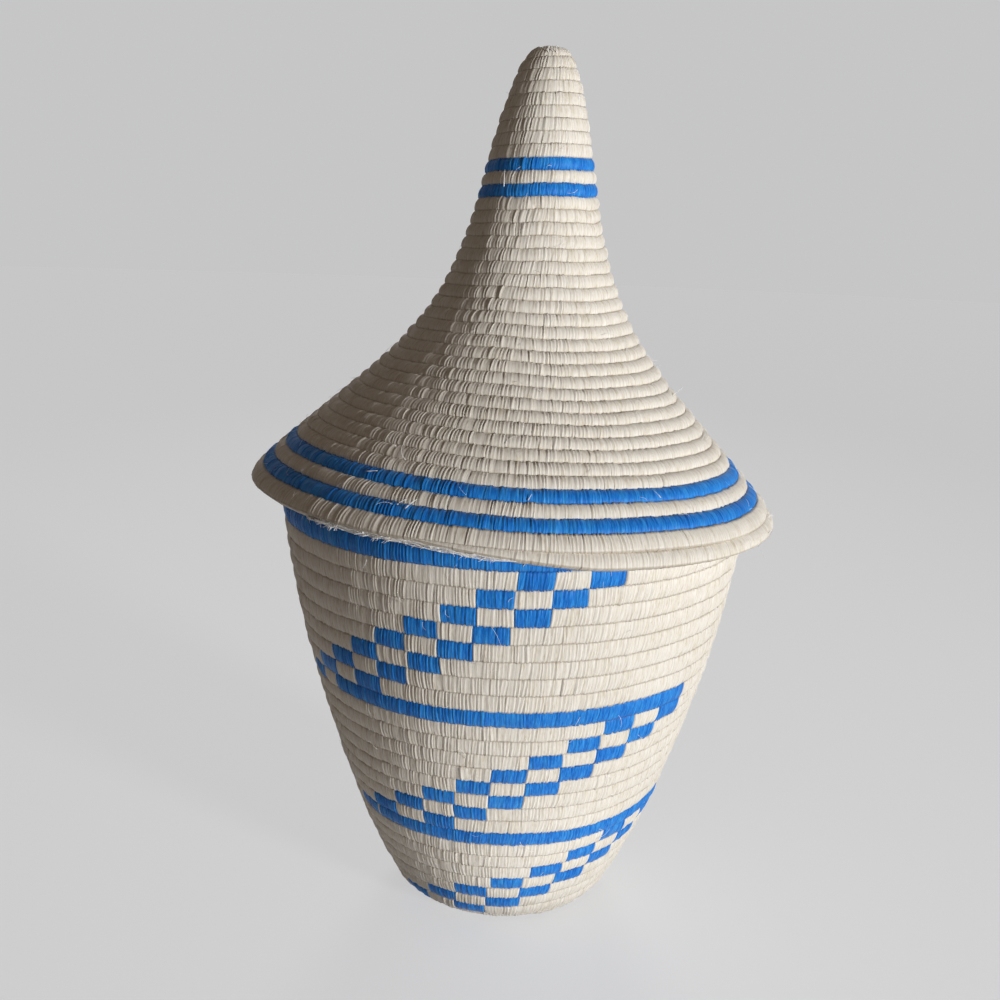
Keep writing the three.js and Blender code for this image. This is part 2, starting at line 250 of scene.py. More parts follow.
print("steps of the table, mm:", round(2 * math.pi * MOUTH_RADIUS / STEPS, 2), "at the mouth")


# %% [markdown]
# Two coils make the object. The basket's winds up to its end at the mouth, which the lid hides, and the lid's
# winds down from the tip. The bundle isn't equally thick all the way: it is a little thicker towards the
# mouth, thins slowly from the brim to the tip, and swells to a roll at the lid's rim, over its thin end.

# %% Both coils
BASKET_TURNS, LID_TURNS = 32.57, 40
BASKET_END, LID_END = 315, -20  # where the coil ends, in degrees from the front
BASKET_TAPER, LID_TAPER = 0.2, 0.1  # turns over which it thins out there
TOP_LINE_END = 0.81  # turns from the mouth end back to the end of the topmost blue line
ROWS_PER_BAND = 8
MOUTH_EXTRA, EXTRA_TURNS = 0.08, 2  # how much thicker the topmost band's coil is, and turns until that fades
RIM_TURNS, ROLL_TURNS = 1.45, 4  # of the roll at the lid's rim, and those over which the coil swells to it
ROLL_SHARE, BRIM_SHARE, TIP_LOSS = 1.25, 1.14, 0.20  # thickness of the roll and the brim, and loss to the tip
END_SHARE, END_FROM, END_TO = 1.04, 0.3, 0.6  # the end under the roll, and turns where that becomes the roll


def basket_swell(back):
    """Thickness of the basket's coil, as a share of the common one, this many turns back from its end."""
    band_end = TOP_LINE_END + ROWS_PER_BAND
    return 1 + MOUTH_EXTRA - MOUTH_EXTRA * smooth(back, band_end, band_end + EXTRA_TURNS)


def lid_swell(back):
    """The same for the lid's coil: thin at the end, then a roll, then slowly thinner up to the tip."""
    body = BRIM_SHARE - TIP_LOSS * back / LID_TURNS
    roll = ROLL_SHARE + (body - ROLL_SHARE) * smooth(back, RIM_TURNS, RIM_TURNS + ROLL_TURNS)
    return END_SHARE + (roll - END_SHARE) * smooth(back, END_FROM, END_TO)


basket = Coil(basket_line, 1, BASKET_TURNS, BASKET_END, BASKET_TAPER, BASKET_COIL, basket_swell, seed=11)
lid = Coil(lid_line, -1, LID_TURNS, LID_END, LID_TAPER, LID_COIL, lid_swell, seed=12)
print("wraps:", basket.wraps, "on the basket and", lid.wraps, "on the lid")


# %% [markdown]
# The lid sits a little askew, as in the photograph: its right side hangs lower, while the rows of its neck
# were sewn level again. The same bend is given to every point of the lid here. How high it rests is read
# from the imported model: the underside of its rim there tells how far to lift it.

# %% How the lid sits
LID_TILT = math.radians(2.75)
LEVEL_FROM, LEVEL_TO = 20, 95  # heights over the rim between which its rows turn level again, mm
LID_SHIFT = -1.35  # sideways on the mouth, mm
GROOVE = 1.0  # depth of the valley between two rows outside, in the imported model
INNER_GROOVE = 0.6  # the same inside
RIM_BOTTOM = 0.01  # turns left off at the very end, where the row has no height


def tilted(points):
    """Lid coordinates to the frame's, in millimetres, before the lid is lifted on to the mouth."""
    x, y, z = points[..., 0], points[..., 1], points[..., 2]
    z = z + x * math.tan(LID_TILT) * smooth(z, LEVEL_FROM, LEVEL_TO)
    cos, sin = math.cos(LID_TILT), math.sin(LID_TILT)
    return np.stack([x * cos + z * sin + LID_SHIFT, y, z * cos - x * sin], -1)


last_turn = np.linspace(lid.turns - 1, lid.turns - RIM_BOTTOM, STEPS)
last_half = lid.swell(lid.turns - last_turn) * lid.thickness / 2
rim_edges = [tilted(lid.place(last_turn, lid.edge(last_turn), out))
             for out in (last_half - GROOVE, INNER_GROOVE - last_half)]
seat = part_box("rim_roll")[0].z / MM - min(edge[:, 2].min() for edge in rim_edges)
print("the lid rests at, mm:", round(seat, 2))


def on_basket(points):
    """The basket's coordinates are the frame's. What would dip under the ground is pressed flat on it."""
    return np.stack([points[..., 0], points[..., 1], np.maximum(points[..., 2], 0)], -1)


def on_lid(points):
    """The same for a point of the lid, which lies askew on the mouth."""
    return tilted(points) + [0, 0, seat]


# %% [markdown]
# Now the wraps. On the real basket each is a turn of flat strand round the bundle, pulled tight: it bulges
# between its neighbours, stands a little higher or lower than they do, leans a little, and tucks its ends
# into the valleys beside its row. A bump texture could draw lines, but it would leave the outline smooth
# and flat in raking light, and here the light rakes across the front. So each length of strand is a tube
# of real ridges. Its section has six corners on the outer face and three on the inner one, and it is flatter
# or rounder as the rows are there.

# %% The section of the bundle
OUTER_CORNERS = 6


def bundle(valley, shoulder, crest=0.03):
    """A section of the coil, as corners of (share of the row's height, depth in mm under the outer crest or
    the inner one): six outside, between two valleys, and three inside."""
    return [(-0.03, valley), (0.13, shoulder), (0.36, crest), (0.64, crest), (0.87, shoulder), (1.03, valley),
            (1.02, 1.3), (0.5, 0.4), (-0.02, 1.3)]


SEAM = np.array([1, 0, 0, 0, 0, 1, 1, 0, 1], np.float32)  # 1 at the corners in a valley between two rows, where the material paints shade

WALL_SECTION = bundle(0.65, 0.24)
LID_SECTION = bundle(1.15, 0.44)  # rounder, because these rows stand out like steps
NECK_SECTION = bundle(0.95, 0.36)
TIP_SECTION = bundle(0.5, 0.2)  # drawn tight, where it winds narrow
RIM_SECTION = bundle(0.6, 0.3)  # the roll and the thin end under it, pressed together
TREAD_SECTION = bundle(1.2, 0.2, 0.0)  # pressed flat underneath
print("corners of a section:", OUTER_CORNERS, "outside of", len(WALL_SECTION))


# %% [markdown]
# No two wraps are alike, because the hand pulls one tighter than the next. Each draws its height, lean and
# reach by chance, and each groove its place and depth. A part of this drifts slowly from wrap to wrap, as a
# maker's pull does. The draws come from a fixed seed, so every run winds the same basket.

# %% How the wraps vary
RIDGE = 0.23  # mean depth of the groove between two wraps, mm
SHALLOWEST, DEEPER = 0.55, 1.35  # most grooves are shallow and a few are deep, as shares of the mean
GAP_SPREAD, GAP_LIMIT = 0.17, 0.36  # how far a groove lies from its place, in wraps
BACK_SPREAD, BACK_LOWEST, BACK_HIGHEST = 0.07, -0.15, 0.18  # how high a wrap's back stands, mm
CLUMP, CLUMP_WRAPS, PULL, PULL_WRAPS = 0.16, 2.2, 0.08, 8  # its quick and its slow drift, mm and wraps
LOOSE_SHARE, LOOSE_HEIGHT = 0.03, 0.22  # here and there a wrap that wasn't pulled tight, mm
LEAN, LEAN_DRIFT, LEAN_WRAPS, LEAN_SPREAD = 0.15, 0.45, 6, 0.2  # how far a wrap slants over its row, in wraps
END_REACH = (0.0, -0.08), (0.24, 0.08)  # least and most that a wrap reaches past the row's two edges, mm


def wander(rng, count, reach):
    """A random value for each wrap that drifts slowly, over about this many wraps, within -1 to 1."""
    marks = rng.uniform(-1, 1, int(count / reach) + 4)
    return np.interp(np.arange(count) / reach, np.arange(len(marks)), marks)


for coil in (basket, lid):
    rng, count = coil.rng, coil.wraps + 2
    coil.gap = np.clip(rng.normal(0, GAP_SPREAD, count), -GAP_LIMIT, GAP_LIMIT)
    coil.back = np.clip(rng.normal(0, BACK_SPREAD, count), BACK_LOWEST, BACK_HIGHEST)
    coil.back += CLUMP * wander(rng, count, CLUMP_WRAPS) + PULL * wander(rng, count, PULL_WRAPS)
    coil.back += LOOSE_HEIGHT * (rng.random(count) < LOOSE_SHARE)
    coil.depth = RIDGE * (SHALLOWEST + DEEPER * rng.random(count) ** 2)
    coil.lean = LEAN + LEAN_DRIFT * wander(rng, count, LEAN_WRAPS) + rng.normal(0, LEAN_SPREAD, count)
    coil.ends = rng.uniform(*END_REACH, (count, 2)).T
    print("grooves, mm deep:", round(float(coil.depth.min()), 2), "to", round(float(coil.depth.max()), 2))


# %% [markdown]
# A length of strand starts as a cylinder whose sides are cut across three times for every wrap, with its
# height counted in wraps. The cylinder is then laid on to the coil: a vertex's height says where along the
# coil it lies, and its corner says where on the bundle's section. A wall that is sewn by hand isn't a perfect
# round either, so slow waves let it swell and let its rows wander by some tenths of a millimetre.

# %% Laying a wrap on the coil
CUTS = 3  # cross sections in a wrap: one in the groove beside it and two on its back
ROUNDING = 0.01  # wraps
IN_GROOVE = 0.1  # a cross section nearer to its wrap's start than this lies in the groove, in wraps
GROOVE_LEAN = 0.8  # how much a groove leans, as a share of its wrap's lean
ROW_EDGE = 0.05  # a corner nearer to the row's edge than this lies in a valley, as a share of the height
VALLEY_RIDGE = 0.6  # how high the ridges are there, as a share
LIP = 1.1  # how much a long end climbs on to the row before, as a share of its depth for each mm of its reach
STEADY_TURNS, STEADY_FROM, STEADY_TO = 1.5, 25, 60  # the last turns and the first mm along the line are even
# Slow waves: height in mm, waves round the basket, mm along the middle line to a radian, phase.
SWELL_WAVES = [(0.22, 3, 31, 0), (0.16, 5, -17, 1)]
DRIFT_WAVES = [(0.2, 4, 23, 0), (0.12, 9, -11, 0)]


def hand_made(angle, along):
    """The wall's own unevenness, mm: how far it swells out, and how far its rows wander."""
    return [sum(high * np.sin(count * angle + along / length + phase) for high, count, length, phase in waves)
            for waves in (SWELL_WAVES, DRIFT_WAVES)]


def laid_on(coil, wrap, corner, section):
    """Where a corner of the section lies at a place counted in wraps, mm."""
    number = np.floor(wrap + ROUNDING).astype(int)
    part = wrap - number
    on_back = part > IN_GROOVE
    share, depth = np.array(section)[corner].T
    outer = corner < OUTER_CORNERS
    place = number + part + (1 - part) * coil.gap[number] + part * coil.gap[number + 1]
    place += coil.lean[number] * (share - 0.5) * np.where(on_back, 1, GROOVE_LEAN)
    place = np.clip(place, 0, coil.wraps - 2)
    turn = np.minimum(coil.turn_at(place), coil.turns)
    height = coil.height(turn)
    full = np.clip(height / (coil.pitch * coil.swell(coil.turns - turn)), 0, 1)
    below, above = share < ROW_EDGE, share > 1 - ROW_EDGE
    ends = np.where(below, -coil.ends[0][number], np.where(above, coil.ends[1][number], 0))
    depth = np.where(corner == 0, depth * (1 - LIP * coil.ends[0][number]), depth)
    along = coil.edge(turn) - height * (1 - share) + ends * full
    swell, drift = hand_made(2 * math.pi * turn * coil.sense, along)
    steady = smooth(coil.turns - turn, 0, STEADY_TURNS) * smooth(along, STEADY_FROM, STEADY_TO)
    half = coil.swell(coil.turns - turn) * coil.thickness / 2
    under = np.where(on_back, -coil.back[number], coil.depth[number])
    under = under * np.where(below | above, VALLEY_RIDGE, 1)
    off = depth * np.where(outer, full, 1) + under * full
    out = np.where(outer, half - off, off - half)
    return coil.place(turn, np.clip(along + drift * steady, 0, None), out + swell * steady)


half_way = laid_on(basket, np.array([basket.wraps / 2]), np.array([OUTER_CORNERS // 2]), WALL_SECTION)[0]
print("a wrap half way along the basket's coil lies at, mm:", [round(float(x), 1) for x in half_way])


# %% [markdown]
# A wrapped piece is one stretch of the coil in one colour. A mesh is filled quickest through whole arrays
# of numbers, so the cylinders are made first and all their vertices are laid on to the coil at once. Each
# corner of a face also gets a UV place, in wraps along the coil and in millimetres round the bundle: the
# strand's fibres and its change of tint from wrap to wrap follow it.

# %% Wrapped pieces
NEEDLEFUL = 150  # wraps covered before a new strand is started


def needlefuls(first, last):
    """A run of wraps in lengths of strand that are about the same."""
    count = max(1, math.ceil((last - first) / NEEDLEFUL))
    marks = [round(first + (last - first) * i / count) for i in range(count + 1)]
    return list(zip(marks, marks[1:]))


def cut_tube(bm, corners, low, high, cuts):
    """A tube of radius 1 along the z axis, with its sides cut across this many times."""
    tube = bmesh.ops.create_cone(bm, cap_ends=True, cap_tris=False, segments=corners, radius1=1, radius2=1,
                                 depth=high - low, matrix=Matrix.Translation((0, 0, (low + high) / 2)))
    sides = {edge for vert in tube["verts"] for edge in vert.link_edges
             if abs(edge.verts[0].co.z - edge.verts[1].co.z) > 0.5}
    bmesh.ops.subdivide_edges(bm, edges=list(sides), cuts=cuts)


def mesh_of(name, bm):
    """A mesh of what a bmesh holds, smooth to the eye. The bmesh is let go."""
    mesh = bpy.data.meshes.new(name)
    bm.to_mesh(mesh)
    bm.free()
    mesh.polygons.foreach_set("use_smooth", np.ones(len(mesh.polygons), bool))
    return mesh


def vertex_places(mesh):
    """The places of a mesh's vertices, one to a row."""
    flat = np.empty(len(mesh.vertices) * 3, np.float32)
    mesh.vertices.foreach_get("co", flat)
    return flat.reshape(-1, 3).astype(float)


def in_scene(name, mesh, places):
    """A piece of this mesh, with its vertices moved to these places, mm."""
    mesh.vertices.foreach_set("co", (places * MM).astype(np.float32).ravel())
    mesh.update()
    piece = bpy.data.objects.new(name, mesh)
    scene.collection.objects.link(piece)
    return piece


def wrapped(name, coil, seated, runs, section=WALL_SECTION):
    """A piece for runs of wraps, each from its first wrap up to where the next colour starts."""
    bm = bmesh.new()
    for first, last in [stretch for run in runs for stretch in needlefuls(*run)]:
        cut_tube(bm, len(section), first, last, CUTS * (last - first) - 1)
    mesh = mesh_of(name, bm)
    places = vertex_places(mesh)
    wrap = np.round(places[:, 2] * CUTS) / CUTS
    corner = np.round(np.arctan2(places[:, 1], places[:, 0]) * len(section) / (2 * math.pi)).astype(int)
    corner = (-coil.sense * corner) % len(section)

    around = np.cumsum([0] + [math.hypot((b[0] - a[0]) * coil.pitch, b[1] - a[1])
                              for a, b in zip(section, section[1:])])
    loops = np.empty(len(mesh.loops), np.int32)
    mesh.loops.foreach_get("vertex_index", loops)
    strand = np.stack([wrap[loops], around[corner[loops]]], 1)
    mesh.uv_layers.new(name="strand").data.foreach_set("uv", strand.astype(np.float32).ravel())
    # The seam attribute marks the valleys between rows, where the material paints shade.
    mesh.attributes.new("seam", "FLOAT", "POINT").data.foreach_set("value", SEAM[corner])
    return in_scene(name, mesh, seated(laid_on(coil, wrap, corner, section)))


print("longest strand, mm:", round(NEEDLEFUL * WRAP))


# %% [markdown]
# The colours follow the weaver's count. Each of the three blue lines runs part of the way round and ends at
# a step; from its end a band of checks climbs down to the left, one check per row, blue, natural and blue,
# until it meets the start of the next line. Every check is ten wraps wide. The photograph shows the
# front half, and the pattern is taken to come twice round the basket.

# %% Which wraps are blue
CHECK = 10  # wraps
LINE_ENDS = [24.0, 53.5, 73.0]  # degrees from the front towards the right
LINE_LENGTHS = [146, 134, 122]  # mm
REPEATS = 2
FOOT_ROW = 26  # counted down from the topmost blue line, which is row 0


def basket_wrap(row, degrees):
    """The wrap in a row at this angle from the front."""
    return basket.wrap_at(basket.turns - row - (BASKET_END - degrees) / 360)


blue_wraps = np.zeros(basket.wraps + 2, bool)
for band, (line_end, line_length) in enumerate(zip(LINE_ENDS, LINE_LENGTHS)):
    for copy in range(REPEATS):
        right = line_end - 360 * copy / REPEATS
        line_row = band * (ROWS_PER_BAND + 1)
        end = round(basket_wrap(line_row, right))
        blue_wraps[end - round(line_length / WRAP):end] = True
        for row in range(line_row + 1, min(line_row + ROWS_PER_BAND + 2, FOOT_ROW)):
            edge = round(basket_wrap(row, right))
            blue_wraps[edge - CHECK:edge] = True
            blue_wraps[edge - 3 * CHECK:edge - 2 * CHECK] = True
            right -= 360 * CHECK / (basket_wrap(row, 0) - basket_wrap(row + 1, 0))
print("blue wraps on the basket:", int(blue_wraps.sum()))


def colour_runs(first, last, blue):
    """The runs of one colour between two wraps of the basket."""
    wanted = np.concatenate([[False], blue_wraps[first:last] == blue, [False]])
    marks = np.flatnonzero(np.diff(wanted.astype(int))) + first
    return list(zip(marks[::2].tolist(), marks[1::2].tolist()))


# %% [markdown]
# The basket's pieces, from the mouth down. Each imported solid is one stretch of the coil, and its wraps take
# its place. Where the pattern crosses a stretch, its natural wraps and its blue ones are two pieces, as
# they are two strands on the real basket.

# %% Basket
dressed = {"natural_sisal": [], "blue_sisal": []}


def dress(piece, node_name, body, slot):
    """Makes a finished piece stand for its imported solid, move with its body and use its slot's finish."""
    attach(piece, body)
    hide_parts(node_name)
    dressed[slot].append(piece)
    print(piece.name, len(piece.data.polygons), "faces")


START_HEIGHT = 0.12  # turns left off where the coil starts with no height
FLOOR_TURNS = 4.64
SINGLE_ROWS = 4  # three blue lines and the row at the foot
wall_turns = basket.turns - FLOOR_TURNS - TOP_LINE_END
lower_rows = wall_turns - SINGLE_ROWS - 2 * ROWS_PER_BAND
basket_stretches = [("mouth_end_row", TOP_LINE_END), ("mouth_blue_row", 1),
                    ("upper_wall_rows", ROWS_PER_BAND), ("middle_blue_row", 1),
                    ("middle_wall_rows", ROWS_PER_BAND), ("lower_blue_row", 1),
                    ("lower_wall_rows", lower_rows), ("foot_row", 1), ("floor_rows", FLOOR_TURNS)]
turn = basket.turns
for node_name, turns in basket_stretches:
    start = max(turn - turns, START_HEIGHT)
    first, last = round(basket.wrap_at(start)), round(basket.wrap_at(turn))
    section = TREAD_SECTION if node_name in ("foot_row", "floor_rows") else WALL_SECTION
    for blue, colour in ((False, "natural"), (True, "blue")):
        runs = colour_runs(first, last, blue)
        if runs:
            piece = wrapped(f"{node_name}_{colour}_wraps", basket, on_basket, runs, section)
            dress(piece, node_name, "basket", f"{colour}_sisal")
    turn = start


# %% [markdown]
# The lid's pieces, from the rim up. Its rings are whole turns of the coil, so each stretch has one colour.

# %% Lid
RING, BRIM_TURNS, FLARE_ROWS, NECK_ROWS = 1, 10, 10, 7.45  # turns; the brim's hold its rings and the roll
BRIM_ROWS = BRIM_TURNS - RIM_TURNS - 3 * RING
lid_stretches = [("rim_roll", RIM_TURNS, RIM_SECTION), ("brim_lower_blue_ring", RING, LID_SECTION),
                 ("brim_natural_ring", RING, LID_SECTION), ("brim_upper_blue_ring", RING, LID_SECTION),
                 ("brim_rows", BRIM_ROWS, LID_SECTION), ("flare_rows", FLARE_ROWS, LID_SECTION),
                 ("neck_rows", NECK_ROWS, NECK_SECTION), ("neck_lower_blue_ring", RING, NECK_SECTION),
                 ("neck_natural_ring", RING, NECK_SECTION), ("neck_upper_blue_ring", RING, NECK_SECTION),
                 ("tip_rows", lid.turns, TIP_SECTION)]  # all that is left
turn = lid.turns
for node_name, turns, section in lid_stretches:
    start = max(turn - turns, START_HEIGHT)
    run = (round(lid.wrap_at(start)), round(lid.wrap_at(turn)))
    piece = wrapped(f"{node_name}_wraps", lid, on_lid, [run], section)
    dress(piece, node_name, "lid", "blue_sisal" if "blue" in node_name else "natural_sisal")
    turn = start


# %% [markdown]
# Two small ends close the coils: the knot at the lid's tip, where the strand is drawn together over the last
# opening, and the button in the middle of the floor, where the bundle is bent round on itself. Both are
# sewn with stitches that run out from the middle. A profile spun round the axis gives the round shape, and
# pressing in every third line from the middle gives the stitches.

# %% Stitched ends
MERGE = 1e-5  # points of a profile nearer than this become one where they meet on the axis, mm
INWARDS = 0.5  # how far a groove goes in towards the axis, as a share of its depth


def stitched(name, seated, profile, stitches, groove):
    """A closed round piece: a profile of (radius, height) in mm from axis to axis, with radial stitches."""
    bm = bmesh.new()
    points = [bm.verts.new((r, 0, z)) for r, z in profile]
    edges = [bm.edges.new(pair) for pair in zip(points, points[1:])]
    bmesh.ops.spin(bm, geom=points + edges, axis=(0, 0, 1), cent=(0, 0, 0), angle=2 * math.pi,
                   steps=stitches * CUTS, use_merge=True)
    bmesh.ops.remove_doubles(bm, verts=bm.verts, dist=MERGE)
    bmesh.ops.recalc_face_normals(bm, faces=bm.faces)
    for vert in bm.verts:
        radius = math.hypot(vert.co.x, vert.co.y)
        line = round(math.atan2(vert.co.y, vert.co.x) / (2 * math.pi) * stitches * CUTS) % CUTS
        if radius > groove and line == 0:
            vert.co -= Vector((vert.co.x, vert.co.y, 0)).normalized() * groove * INWARDS
            vert.co.z -= groove * (1 if vert.normal.z > 0 else -1)
    mesh = mesh_of(name, bm)
    layer = mesh.uv_layers.new(name="strand")
    for loop in mesh.loops:
        x, y, z = mesh.vertices[loop.vertex_index].co
        layer.data[loop.index].uv = (math.atan2(y, x) / (2 * math.pi) * stitches, math.hypot(x, y) + z)
    return in_scene(name, mesh, seated(vertex_places(mesh)))


BUTTON_TOP = BASKET_COIL - INNER_GROOVE
button_profile = [(0, 0.0), (2.0, 0.0), (4.2, 0.1), (5.2, 0.9), (5.45, 2.4), (5.2, BUTTON_TOP - 0.9),
                  (4.2, BUTTON_TOP - 0.2), (2.0, BUTTON_TOP + 0.2), (0, BUTTON_TOP)]
button = stitched("floor_button_stitches", on_basket, button_profile, stitches=22, groove=0.2)
dress(button, "floor_start_button", "basket", "natural_sisal")

knot_low, knot_high = (corner.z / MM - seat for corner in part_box("tip_knot"))
knot_profile = [(0, knot_low + 0.3), (2.6, knot_low + 0.2), (3.9, knot_low + 1.6), (4.4, knot_high - 2.2),
                (3.9, knot_high - 1.1), (2.4, knot_high - 0.25), (0, knot_high)]
knot = stitched("tip_knot_stitches", on_lid, knot_profile, stitches=18, groove=0.28)
dress(knot, "tip_knot", "lid", "natural_sisal")


# %% [markdown]
# Sisal sheds. Single fibres work loose from the strand and stand off the surface by a millimetre or two,
# most of them flat and a few upright, and they are what makes the outline of a basket look soft. Each is a
# thin three-sided tube along a curve that starts under a wrap and tapers to its free end.

# %% A loose fibre
FIBRE_STEPS, FIBRE_CORNERS = 6, 3
FIBRE_TIP = 0.35  # thickness at the free end, as a share of that at the root
ROOT_DEPTH = 0.35  # where a fibre starts under the bundle's surface, mm
BENT_AT, DROOP = 0.45, 0.9  # where it bends, as a share of its length, and how much of its lift the end keeps


def fibre(bm, path, thick):
    """A loose fibre along a path of points, mm, that narrows from its root to its tip."""
    steps, before = len(path) - 1, len(bm.verts)
    cut_tube(bm, FIBRE_CORNERS, 0, steps, steps - 1)
    bm.verts.ensure_lookup_table()
    run = np.gradient(path, axis=0)
    for vert in bm.verts[before:]:
        step = round(vert.co.z)
        ahead = Vector(run[step]).normalized()
        side = ahead.orthogonal().normalized()
        radius = thick / 2 * (1 + (FIBRE_TIP - 1) * step / steps)
        vert.co = Vector(path[step]) + (side * vert.co.x + ahead.cross(side) * vert.co.y) * radius


def fibre_path(*controls):
    """A curve with as few points as a fibre needs."""
    bent = curve(*controls)
    return bent[np.linspace(0, len(bent) - 1, FIBRE_STEPS + 1).astype(int)]


def springing(coil, degrees, along, heading, length, lift, bow=0.0):
    """The path of a fibre that starts at an angle from the front, this far along the middle line. Heading 0
    lies along the row to the right, 90 points up the wall, lift is how far its end stands off, and bow is
    how far it curves to one side, as a share of its length."""
    whole = coil.turns + coil.sense * (degrees - coil.end_degrees) / 360
    turns = whole % 1 + np.arange(int(coil.turns))
    turn = turns[min(np.searchsorted(coil.edge(turns), along), len(turns) - 1)]
    half = coil.swell(coil.turns - turn) * coil.thickness / 2
    root = coil.place(turn, along, half - ROOT_DEPTH)
    off = coil.place(turn, along, half + (1 - ROOT_DEPTH)) - root
    around, turned = np.append(direction(degrees), 0), direction(heading)
    ahead = around * turned[0] + np.cross(off, around) * turned[1]
    side = np.cross(off, ahead) * bow * length
    return fibre_path(root, root + ahead * length * BENT_AT + off * (ROOT_DEPTH + lift) + side,
                      root + ahead * length + off * (ROOT_DEPTH + lift * DROOP))


print("a fibre has", FIBRE_STEPS * FIBRE_CORNERS + 2, "faces")


# %% [markdown]
# Some hundreds of fibres are scattered by chance, a tenth to a fifth of a millimetre thick, as real ones are.
# Those that the photograph shows well are put where it has them: a fibre that points away from the brim, pale
# ends across the blue rings and tufts on the tip. Some are fibres that cling together, so they are thicker.

# %% Which fibres
SEEN_ON_LID = [  # degrees from the front, mm along the middle line, heading, length, lift, thickness
    (72, 122.0, 0, 1.2, 4.6, 0.26), (69, 139.6, 70, 1.6, 1.6, 0.3), (71, 140.4, 20, 1.2, 1.9, 0.26),
    (2.5, 158.2, 60, 2.0, 0.5, 0.42), (34, 157.2, 130, 3.4, 0.45, 0.36), (41, 161.6, 140, 2.0, 0.5, 0.3),
    (-35.5, 156.6, 10, 4.6, 0.5, 0.5), (-22, 166.2, 50, 4.2, 0.6, 0.55), (-24, 165.4, 35, 3.0, 0.7, 0.4),
    (-36, 46.8, 95, 5.4, 0.35, 0.5), (-8, 2.6, 60, 1.2, 1.6, 0.5), (14, 2.6, 100, 1.2, 1.8, 0.5),
    (3, 2.2, 90, 0.9, 1.3, 0.4), (76, 173.0, 60, 1.4, 1.6, 0.26), (77, 174.0, -40, 1.8, 1.2, 0.22),
    (74, 173.6, 10, 1.2, 2.0, 0.22), (68, 176.8, 0, 1.6, 0.7, 0.8)]
SEEN_ON_BASKET = [
    (65, 134.0, 20, 1.4, 1.6, 0.26), (66, 132.6, -50, 1.8, 1.3, 0.22), (-41, 104.7, 30, 2.6, 0.9, 0.34),
    (-40, 103.6, 120, 2.2, 0.8, 0.3), (-42, 105.8, 170, 2.0, 1.0, 0.3), (1.5, 178.6, 60, 3.6, 0.5, 0.4),
    (-25.5, 163.0, 80, 2.4, 0.7, 0.36), (-45.5, 46.2, -20, 2.2, 1.0, 0.3)]
SCATTERED = 190  # on each of the two
CROWDED = 0.75  # less than 1 puts more of them towards the coil's end
THICKNESS, LENGTH, BOW = (0.1, 0.2), (2, 7), (-0.6, 0.6)  # least and most, mm, and shares of the length
FLAT_SHARE, FLAT, UPRIGHT = 0.75, (0.05, 0.4), (0.6, 1.8)  # lift in mm of those that lie flat and of the rest
TINT_HEIGHT = 4  # a fibre's tint changes at this height, mm


def loose_fibres(name, coil, seated, seen, lowest, extra=()):
    """One piece with the fibres that the photograph shows and the scattered ones."""
    bm = bmesh.new()
    rng = coil.rng
    for degrees, along, heading, length, lift, thick in seen:
        fibre(bm, springing(coil, degrees, along, heading, length, lift), thick)
    for _ in range(SCATTERED):
        place = lowest + (coil.along[-1] - lowest) * rng.random() ** CROWDED
        thick, length, bow = rng.uniform(*THICKNESS), rng.uniform(*LENGTH), rng.uniform(*BOW)
        lift = rng.uniform(*FLAT) if rng.random() < FLAT_SHARE else rng.uniform(*UPRIGHT)
        degrees, heading = rng.uniform(-180, 180), rng.uniform(0, 360)
        fibre(bm, springing(coil, degrees, place, heading, length, lift, bow), thick)
    for path, thick in extra:
        fibre(bm, path, thick)
    bmesh.ops.recalc_face_normals(bm, faces=bm.faces)
    mesh = mesh_of(name, bm)
    layer = mesh.uv_layers.new(name="strand")
    for loop in mesh.loops:
        spot = mesh.vertices[loop.vertex_index].co
        layer.data[loop.index].uv = (0.5 + round(spot.z / TINT_HEIGHT), spot.x)
    return in_scene(name, mesh, seated(vertex_places(mesh)))


print("fibres put by hand:", len(SEEN_ON_LID) + len(SEEN_ON_BASKET))


# %% [markdown]
# Under the left of the lid's rim lies a strand that has come undone. Its plies are still half twisted round
# each other, and short ends stick out of them all along, a third of them in one tangle.

# %% The frayed strand
FRAY_FROM, FRAY_TO = -44, 4  # degrees from the front
PLIES, PLY_THICKNESS, PLY_POINTS = 8, 0.45, 90
PLY_TWIST = 3  # degrees along the rim in which the plies turn by a radian
STRAND_OUT, STRAND_DOWN = 0.35, 0.95  # the strand's middle, out from the last row and down from it, mm
HALF_WIDTH, HALF_HEIGHT = 0.5, 0.45  # mm
SWAY, SWAY_MARKS = 0.3, 24  # how far a ply strays from its twist, mm, and in how many places
HIDDEN, TAKEN_UP = 0.3, 10  # how far the plies go up under the rim, mm, and the degrees where the end does
TUFTS, TUFT_THICKNESS = 110, (0.16, 0.32)
TANGLE, TANGLE_SPREAD, TANGLE_SHARE = -37.5, 1.0, 0.35  # degrees, and the share of the short ends in it
FRAY_SEED = 31


def under_rim(degrees, outwards, down):
    """A place under the lid's last row: outwards from its middle, down from its lower edge, mm."""
    turn = lid.turns - ((degrees - lid.end_degrees) / 360) % 1
    return lid.place(turn, lid.edge(turn), outwards) - np.stack([0 * down, 0 * down, down], -1)


